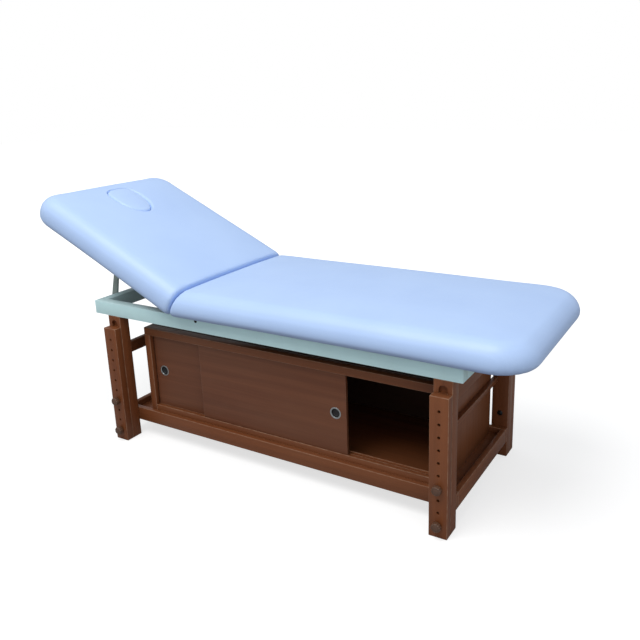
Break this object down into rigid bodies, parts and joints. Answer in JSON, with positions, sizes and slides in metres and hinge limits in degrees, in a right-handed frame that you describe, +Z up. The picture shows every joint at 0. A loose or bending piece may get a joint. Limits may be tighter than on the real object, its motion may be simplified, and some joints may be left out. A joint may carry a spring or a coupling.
{
  "type": "spa bed",
  "caption": "Padded spa bed with a lifting backrest and face plug, on a wooden base with lengthening legs and a cabinet with sliding doors.",
  "frame": {"origin": "centre of the whole bed's box, on the floor", "axes": "+X along the bed towards the foot end, +Y towards the rear side away from the doors, +Z up"},
  "size_m": [1.8738, 0.66, 0.9149],
  "materials": {
    "wood": "satin",
    "wood_dark": "matte",
    "painted_wood": "satin",
    "upholstery": "satin",
    "steel": "satin",
    "painted_steel": "satin",
    "black_steel": "satin",
    "cup_plastic": "matte",
    "knob_plastic": "satin"
  },
  "bodies": {
    "root": {"post_head_front": "wood", "post_head_rear": "wood", "post_foot_front": "wood", "post_foot_rear": "wood", "leg_bolts": "black_steel", "long_rail_front": "wood", "long_rail_rear": "wood", "end_rail_head": "wood", "end_rail_foot": "wood", "head_stretcher": "wood", "foot_lath": "wood", "foot_apron": "wood", "top_rail_front": "painted_wood", "top_rail_rear": "painted_wood", "top_rail_head": "painted_wood", "top_rail_foot": "painted_wood", "cross_rail_hinge": "wood_dark", "cross_rail_middle": "wood_dark", "frame_bolts": "black_steel", "seat_board": "wood_dark", "seat_pad": "upholstery", "seat_pad_nose": "upholstery", "hinge_leaves_seat": "steel", "hinge_pins": "steel", "stay_keepers": "steel", "base_board": "wood_dark", "cabinet_top": "wood_dark", "cabinet_side_head": "wood_dark", "cabinet_side_foot": "wood_dark", "cabinet_back": "wood_dark", "stile_head": "wood", "stile_foot": "wood", "face_rail_top": "wood", "face_rail_bottom": "wood"},
    "backrest": {"backrest_board": "wood_dark", "backrest_pad": "upholstery", "hinge_leaves_back": "steel", "stay_brackets": "steel"},
    "face_plug": {"face_plug": "upholstery"},
    "stay_front": {"stay_front": "painted_steel"},
    "stay_rear": {"stay_rear": "painted_steel"},
    "door_rear": {"door_rear_track": "wood", "pull_ring_rear_track": "steel", "pull_cup_rear_track": "cup_plastic"},
    "door_front": {"door_front_track": "wood", "pull_ring_front_track": "steel", "pull_cup_front_track": "cup_plastic"},
    "leg_plank_head_front": {"leg_plank_head_front": "wood"},
    "leg_plank_head_rear": {"leg_plank_head_rear": "wood"},
    "leg_plank_foot_front": {"leg_plank_foot_front": "wood"},
    "leg_plank_foot_rear": {"leg_plank_foot_rear": "wood"},
    "knob_upper_head_front": {"knob_upper_head_front": "knob_plastic"},
    "knob_upper_head_rear": {"knob_upper_head_rear": "knob_plastic"},
    "knob_upper_foot_front": {"knob_upper_foot_front": "knob_plastic"},
    "knob_upper_foot_rear": {"knob_upper_foot_rear": "knob_plastic"},
    "knob_lower_head_front": {"knob_lower_head_front": "knob_plastic"},
    "knob_lower_head_rear": {"knob_lower_head_rear": "knob_plastic"},
    "knob_lower_foot_front": {"knob_lower_foot_front": "knob_plastic"},
    "knob_lower_foot_rear": {"knob_lower_foot_rear": "knob_plastic"}
  },
  "joints": [
    {"name": "backrest_tilt", "type": "hinge", "parent": "root", "child": "backrest", "pos_m": [-0.30111, 0, 0.531], "axis": [0, 1, 0], "range_deg": [-25, 20], "deforming": ["seat_pad_nose"]},
    {"name": "face_plug_lift", "type": "slide", "parent": "backrest", "child": "face_plug", "axis": [0.4226, 0, 0.9063], "range_m": [0, 0.12]},
    {"name": "stay_front_swing", "type": "hinge", "parent": "backrest", "child": "stay_front", "pos_m": [-0.67907, -0.16, 0.70007], "axis": [0, 1, 0], "range_deg": [-12, 14.5]},
    {"name": "stay_rear_swing", "type": "hinge", "parent": "backrest", "child": "stay_rear", "pos_m": [-0.67907, 0.16, 0.70007], "axis": [0, 1, 0], "range_deg": [-12, 14.5]},
    {"name": "door_rear_slide", "type": "slide", "parent": "root", "child": "door_rear", "axis": [1, 0, 0], "range_m": [0, 0.525]},
    {"name": "door_front_slide", "type": "slide", "parent": "root", "child": "door_front", "axis": [1, 0, 0], "range_m": [-0.23, 0.295]},
    {"name": "leg_plank_head_front_slide", "type": "slide", "parent": "root", "child": "leg_plank_head_front", "axis": [0, 0, 1], "range_m": [-0.24, 0]},
    {"name": "leg_plank_head_rear_slide", "type": "slide", "parent": "root", "child": "leg_plank_head_rear", "axis": [0, 0, 1], "range_m": [-0.24, 0]},
    {"name": "leg_plank_foot_front_slide", "type": "slide", "parent": "root", "child": "leg_plank_foot_front", "axis": [0, 0, 1], "range_m": [-0.24, 0]},
    {"name": "leg_plank_foot_rear_slide", "type": "slide", "parent": "root", "child": "leg_plank_foot_rear", "axis": [0, 0, 1], "range_m": [-0.24, 0]},
    {"name": "knob_upper_head_front_turn", "type": "hinge", "parent": "root", "child": "knob_upper_head_front", "pos_m": [-0.60511, -0.3183, 0.162], "axis": [0, -1, 0], "continuous": true},
    {"name": "knob_upper_head_rear_turn", "type": "hinge", "parent": "root", "child": "knob_upper_head_rear", "pos_m": [-0.60511, 0.3183, 0.162], "axis": [0, 1, 0], "continuous": true},
    {"name": "knob_upper_foot_front_turn", "type": "hinge", "parent": "root", "child": "knob_upper_foot_front", "pos_m": [0.68489, -0.3183, 0.162], "axis": [0, -1, 0], "continuous": true},
    {"name": "knob_upper_foot_rear_turn", "type": "hinge", "parent": "root", "child": "knob_upper_foot_rear", "pos_m": [0.68489, 0.3183, 0.162], "axis": [0, 1, 0], "continuous": true},
    {"name": "knob_lower_head_front_turn", "type": "hinge", "parent": "root", "child": "knob_lower_head_front", "pos_m": [-0.60511, -0.3183, 0.042], "axis": [0, -1, 0], "continuous": true},
    {"name": "knob_lower_head_rear_turn", "type": "hinge", "parent": "root", "child": "knob_lower_head_rear", "pos_m": [-0.60511, 0.3183, 0.042], "axis": [0, 1, 0], "continuous": true},
    {"name": "knob_lower_foot_front_turn", "type": "hinge", "parent": "root", "child": "knob_lower_foot_front", "pos_m": [0.68489, -0.3183, 0.042], "axis": [0, -1, 0], "continuous": true},
    {"name": "knob_lower_foot_rear_turn", "type": "hinge", "parent": "root", "child": "knob_lower_foot_rear", "pos_m": [0.68489, 0.3183, 0.042], "axis": [0, 1, 0], "continuous": true}
  ],
  "couplings": [
    {"joint": "stay_front_swing", "follows": "backrest_tilt", "ratio": -0.5},
    {"joint": "stay_rear_swing", "follows": "backrest_tilt", "ratio": -0.5}
  ]
}
